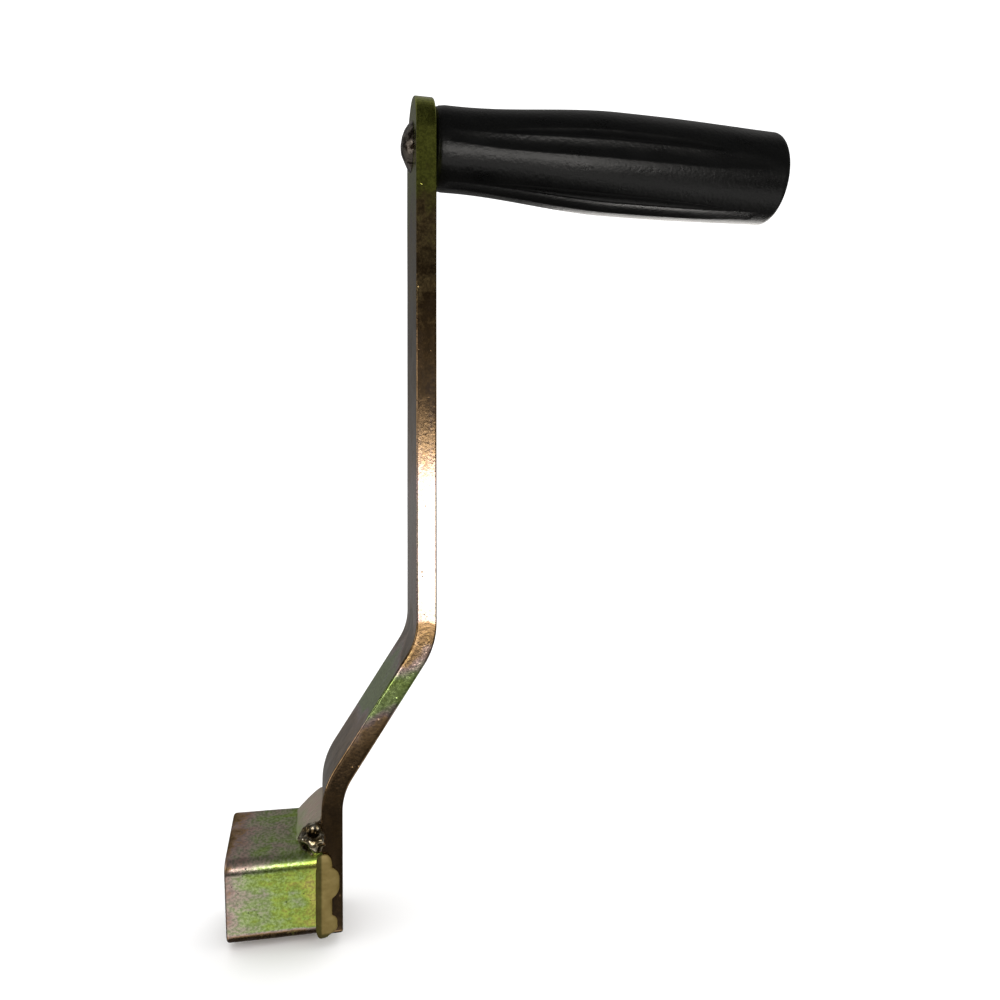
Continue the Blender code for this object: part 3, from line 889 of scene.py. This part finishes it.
def axle_pin(material):
    """Head, shank, spigot and hammered dome, turned about the axle's line."""
    head_face = GRIP_END_X - GRIP_RECESS_DEPTH + WASHER_THICKNESS + 2 * GAP
    head_top = head_face + HEAD_THICKNESS
    shoulder = ARM_RIGHT_X + GAP
    dome_base = ARM_LEFT_X - 0.0001
    sphere = (RIVET_RADIUS ** 2 + RIVET_HEIGHT ** 2) / (2 * RIVET_HEIGHT)
    sweep = math.asin(RIVET_RADIUS / sphere)
    centre_x = dome_base - RIVET_HEIGHT + sphere
    profile = [(head_top - 0.00025, AXIS_RADIUS), (head_top - 0.0001, 0.0028), (head_top, 0.0052)]
    edge = HEAD_EDGE_RADIUS
    for i in range(7):
        angle = math.pi / 2 * i / 6
        x = head_top - edge + edge * math.cos(angle)
        profile.append((x, HEAD_RADIUS - edge + edge * math.sin(angle)))
    profile += [
        (head_face + SMALL_CHAMFER, HEAD_RADIUS),
        (head_face, HEAD_RADIUS - SMALL_CHAMFER),
        (head_face, SHANK_RADIUS + 0.0002),
        (head_face - 0.0002, SHANK_RADIUS),
        (shoulder + SMALL_CHAMFER, SHANK_RADIUS),
        (shoulder, SHANK_RADIUS - SMALL_CHAMFER),
        (shoulder, SPIGOT_RADIUS),
        (dome_base, SPIGOT_RADIUS),
        (dome_base, RIVET_RADIUS - 0.0002),
    ]
    steps = 40
    for i in range(steps):
        angle = sweep * (1 - i / steps)
        x = centre_x - sphere * math.cos(angle)
        profile.append((x, max(sphere * math.sin(angle), AXIS_RADIUS)))
    centre = Vector((centre_x, 0.0, CRANK_RADIUS))
    flats = peening()

    def hammered(p, radius, angle):
        if p.x > dome_base - 0.0001 or radius > RIVET_RADIUS:
            return p
        offset = p - centre
        for normal, depth in flats:
            over = offset.dot(normal) - (sphere - depth)
            if over > 0:
                offset = offset - normal * over
        return centre + offset

    points = turned(profile, AXLE_STEPS, hammered)
    faces = grid_faces(len(profile), AXLE_STEPS, wrap_columns=True)
    faces.append(tuple(range(AXLE_STEPS)))
    faces.append(tuple(range(len(points) - AXLE_STEPS, len(points))))
    make_piece("axle_pin", points, faces, material, "crank", "grip_axle")


def washer_plate(material):
    low = GRIP_END_X - GRIP_RECESS_DEPTH + GAP
    high = low + WASHER_THICKNESS
    bore = SHANK_RADIUS + GAP
    edge = WASHER_CHAMFER
    profile = [
        (low + edge, bore),
        (low, bore + edge),
        (low, WASHER_RADIUS - edge),
        (low + edge, WASHER_RADIUS),
        (high - edge, WASHER_RADIUS),
        (high, WASHER_RADIUS - edge),
        (high, bore + edge),
        (high - edge, bore),
    ]
    points = turned(profile, WASHER_STEPS)
    faces = grid_faces(len(profile), WASHER_STEPS, wrap_rows=True, wrap_columns=True)
    make_piece("washer_plate", points, faces, material, "crank", "head_washer")


# ---------------------------------------------------------------- the grip
def barrel_radius(along):
    """The grip's outer radius, before the grooves, at a distance from its inner end."""
    nose = GRIP_NOSE_DROP * max(1 - along / GRIP_NOSE_LENGTH, 0.0)
    if along < GRIP_BULGE_AT:
        rise = smoothstep((along - GRIP_COLLAR) / (GRIP_BULGE_AT - GRIP_COLLAR))
        return GRIP_INNER_END_RADIUS + (GRIP_BULGE_RADIUS - GRIP_INNER_END_RADIUS) * rise - nose
    fall = smoothstep(((along - GRIP_BULGE_AT) / (GRIP_LENGTH - GRIP_BULGE_AT)) ** 1.6)
    return GRIP_BULGE_RADIUS + (GRIP_OUTER_END_RADIUS - GRIP_BULGE_RADIUS) * fall


def pair_depth(along, angle):
    """How deep the surface is cut at this place on the barrel.

    Each pair is a long groove below a crest line and a shorter, lens-shaped one above it.
    """
    t = (along - GROOVE_START) / (GROOVE_END - GROOVE_START)
    if t <= 0.0 or t >= 1.0:
        return 0.0
    pitch = math.tau / GROOVE_PAIRS
    offset = (angle - GROOVE_PHASE + pitch / 2) % pitch - pitch / 2
    middle = math.sin(math.pi * t)
    fade = smoothstep(min(t, 1 - t) / GROOVE_END_FADE)
    if offset < 0:
        width = LONG_GROOVE_ANGLE * (0.80 + 0.20 * smoothstep(middle / 0.6))
        depth = GROOVE_END_DEPTH + (GROOVE_DEPTH - GROOVE_END_DEPTH) * smoothstep(middle / 0.9)
        u = -offset / width
    else:
        lens = 1 - ((t - 0.5) / SHORT_GROOVE_REACH) ** 2
        if lens <= 0.0:
            return 0.0
        width = SHORT_GROOVE_ANGLE * math.sqrt(lens)
        depth = GROOVE_DEPTH * lens
        u = offset / width
    if u >= 1.0:
        return 0.0
    return depth * fade * math.sin(math.pi * u) ** 0.9


def grip_profile():
    """The grip's section, (along, radius): inner face, barrel, rim, lip, recess and bore."""
    rounding = GRIP_INNER_ROUNDING
    rim = GRIP_OUTER_ROUNDING
    profile = [(0.0, radius) for radius in (GRIP_BORE_RADIUS, *GRIP_INNER_FACE_RADII)]
    end_radius = GRIP_INNER_END_RADIUS - GRIP_NOSE_DROP
    for i in range(1, 7):
        angle = math.pi / 2 * i / 6
        radius = end_radius - rounding * (1 - math.sin(angle))
        profile.append((rounding * (1 - math.cos(angle)), radius))
    last = GRIP_LENGTH - rim
    for i in range(GRIP_STATIONS + 1):
        along = GRIP_BARREL_START + (last - GRIP_BARREL_START) * i / GRIP_STATIONS
        profile.append((along, barrel_radius(along)))
    for i in range(1, 9):
        angle = math.pi / 2 * i / 8
        radius = barrel_radius(last) - rim * (1 - math.cos(angle))
        profile.append((last + rim * math.sin(angle), radius))
    lip = GRIP_LIP_ROUNDING
    for i in range(5):
        angle = math.pi / 2 * i / 4
        radius = GRIP_RECESS_RADIUS + lip - lip * math.sin(angle)
        profile.append((GRIP_LENGTH - lip + lip * math.cos(angle), radius))
    recess_floor = GRIP_LENGTH - GRIP_RECESS_DEPTH
    return profile + [
        (recess_floor + 0.0004, GRIP_RECESS_RADIUS),
        (recess_floor + 0.0001, GRIP_RECESS_RADIUS - 0.0001),
        (recess_floor, GRIP_RECESS_RADIUS - 0.0004),
        (recess_floor, GRIP_BORE_RADIUS + SMALL_CHAMFER),
        (recess_floor - SMALL_CHAMFER, GRIP_BORE_RADIUS),
        (recess_floor / 2, GRIP_BORE_RADIUS),
    ]


def grip_barrel(material):
    profile = grip_profile()
    barrel_end = GRIP_LENGTH - GRIP_LIP_ROUNDING
    points = []
    for along, radius in profile:
        outer = radius > GRIP_LEAST_GROOVED_RADIUS and GRIP_BARREL_START <= along <= barrel_end
        for k in range(GRIP_STEPS):
            angle = math.tau * k / GRIP_STEPS
            r = radius - (pair_depth(along, angle) if outer else 0.0)
            y = -r * math.cos(angle)
            z = CRANK_RADIUS + r * math.sin(angle)
            points.append(Vector((GRIP_START_X + along, y, z)))
    faces = grid_faces(len(profile), GRIP_STEPS, wrap_rows=True, wrap_columns=True)
    make_piece("grip_barrel", points, faces, material, "grip", "grip_sleeve")


# ---------------------------------------------------------------- set, lights, camera
def floor(level):
    """A plain pale floor that the metal doesn't reflect."""
    mesh = bpy.data.meshes.new("floor")
    reach = FLOOR_REACH
    corners = [(-reach, -reach), (reach, -reach), (reach, reach), (-reach, reach)]
    mesh.from_pydata([(x, y, level) for x, y in corners], [], [(0, 1, 2, 3)])
    material = bpy.data.materials.new("pale_floor")
    material.use_nodes = True
    shader = material.node_tree.nodes["Principled BSDF"]
    shader.inputs["Base Color"].default_value = (0.88, 0.88, 0.88, 1.0)
    shader.inputs["Roughness"].default_value = 0.9
    shader.inputs["Specular IOR Level"].default_value = 0.0
    mesh.materials.append(material)
    plane = bpy.data.objects.new("floor", mesh)
    bpy.context.scene.collection.objects.link(plane)
    plane.visible_glossy = False


def area_light(name, place, target, size, power):
    data = bpy.data.lights.new(name, "AREA")
    data.shape = "RECTANGLE"
    data.size, data.size_y = size
    data.energy = power
    data.color = LIGHT_COLOUR
    light = bpy.data.objects.new(name, data)
    light.location = place
    direction = Vector(target) - Vector(place)
    light.rotation_euler = direction.to_track_quat("-Z", "Y").to_euler()
    bpy.context.scene.collection.objects.link(light)


# How bright the room is in reflections, by the direction's height from -1 (down) to 1 (up).
ROOM_IN_FRONT = [
    (-1.0, 0.03), (-0.93, 0.03), (-0.885, 0.06), (-0.84, 1.05), (-0.74, 0.92), (-0.62, 0.45),
    (-0.52, 0.05), (-0.36, 0.04), (-0.31, 0.06), (-0.27, 0.32), (-0.225, 0.46), (-0.20, 0.12),
    (-0.14, 0.12), (0.13, 0.11), (0.30, 0.05), (0.42, 0.10), (0.52, 0.04), (1.0, 0.025),
]
ROOM_BEHIND = [
    (-1.0, 0.05), (-0.5, 0.14), (0.0, 0.19), (0.12, 0.12),
    (0.36, 0.09), (0.60, 0.16), (0.77, 0.29), (1.0, 0.16),
]


def studio():
    """The room as the metal sees it, and a white surround as the camera sees it."""
    world = bpy.data.worlds.new("studio")
    bpy.context.scene.world = world
    world.use_nodes = True
    tree = world.node_tree
    tree.nodes.clear()
    new = tree.nodes.new
    link = tree.links.new
    place = new("ShaderNodeTexCoord")
    split = new("ShaderNodeSeparateXYZ")
    link(place.outputs["Generated"], split.inputs["Vector"])

    def ramp(stops):
        height = new("ShaderNodeMapRange")
        height.inputs["From Min"].default_value = -1.0
        link(split.outputs["Z"], height.inputs["Value"])
        made = new("ShaderNodeValToRGB")
        elements = made.color_ramp.elements
        while len(elements) < len(stops):
            elements.new(1.0)
        for element, (z, value) in zip(elements, stops):
            element.position = (z + 1) / 2
            element.color = (value, value * 0.985, value * 0.96, 1.0)
        link(height.outputs["Result"], made.inputs["Fac"])
        return made.outputs["Color"]

    front = ramp(ROOM_IN_FRONT)
    back = ramp(ROOM_BEHIND)
    facing = new("ShaderNodeMapRange")
    facing.interpolation_type = "SMOOTHSTEP"
    facing.inputs["From Min"].default_value = -0.25
    facing.inputs["From Max"].default_value = 0.35
    link(split.outputs["Y"], facing.inputs["Value"])
    room = new("ShaderNodeMix")
    room.data_type = "RGBA"
    link(facing.outputs["Result"], room.inputs["Factor"])
    link(front, room.inputs["A"])
    link(back, room.inputs["B"])
    reflected = new("ShaderNodeBackground")
    link(room.outputs["Result"], reflected.inputs["Color"])
    plain = new("ShaderNodeBackground")
    plain.inputs["Color"].default_value = (1.0, 1.0, 1.0, 1.0)
    plain.inputs["Strength"].default_value = SURROUND_STRENGTH
    rays = new("ShaderNodeLightPath")
    choose = new("ShaderNodeMixShader")
    link(rays.outputs["Is Glossy Ray"], choose.inputs[0])
    link(plain.outputs[0], choose.inputs[1])
    link(reflected.outputs[0], choose.inputs[2])
    output = new("ShaderNodeOutputWorld")
    link(choose.outputs[0], output.inputs["Surface"])


def lights():
    for name, place, target, size, power in LIGHTS:
        area_light(name, place, target, size, power)


def camera():
    """The eye that was fitted to the photograph, so it looks down and turns a little."""
    data = bpy.data.cameras.new("camera")
    data.lens = CAMERA_LENS
    data.sensor_width = CAMERA_SENSOR
    data.clip_start = 0.01
    data.clip_end = 50.0
    eye = bpy.data.objects.new("camera", data)
    eye.location = CAMERA_PLACE
    eye.rotation_euler = (math.pi / 2 - CAMERA_DOWN, 0.0, CAMERA_TURN)
    bpy.context.scene.collection.objects.link(eye)
    bpy.context.scene.camera = eye


def build():
    low = BAR_FILM_LOW_Z
    high = BAR_FILM_HIGH_Z
    bar_zinc_and_painted_light = zinc("yellow_zinc_bar_film_and_painted_light", BAR_FILM_AND_PAINTED_LIGHT, "Z", low, high, 0.18, (420, 420, 40), 0.14)
    low = TUBE_FILM_LOW_X
    high = TUBE_FILM_HIGH_X
    tube_zinc_and_painted_shade = zinc("yellow_zinc_tube_film_and_painted_shade", TUBE_FILM, "X", low, high, 0.62, (45, 420, 420), 0.25, True)
    weld = weld_metal()
    wash = weld_wash()
    spatter = weld_spatter()
    steel = bare_steel("axle_steel_peened", (0.36, 0.31, 0.26), (0.022, 0.014, 0.009), 0.18, True)
    washer_steel = bare_steel("washer_steel_plain", (0.55, 0.52, 0.47), (0.30, 0.27, 0.22), 0.28)
    plastic = black_plastic()
    arm_bar(bar_zinc_and_painted_light)
    socket_tube(tube_zinc_and_painted_shade)
    fillet_top(weld)
    fillet_corner(spatter)
    bead_front(wash)
    bead_rear(weld)
    bead_bottom(weld)
    axle_pin(steel)
    washer_plate(washer_steel)
    grip_barrel(plastic)


build()
bpy.context.scene.view_settings.view_transform = "Standard"
floor(CAD_BOX[0].z)
lights()
studio()
camera()
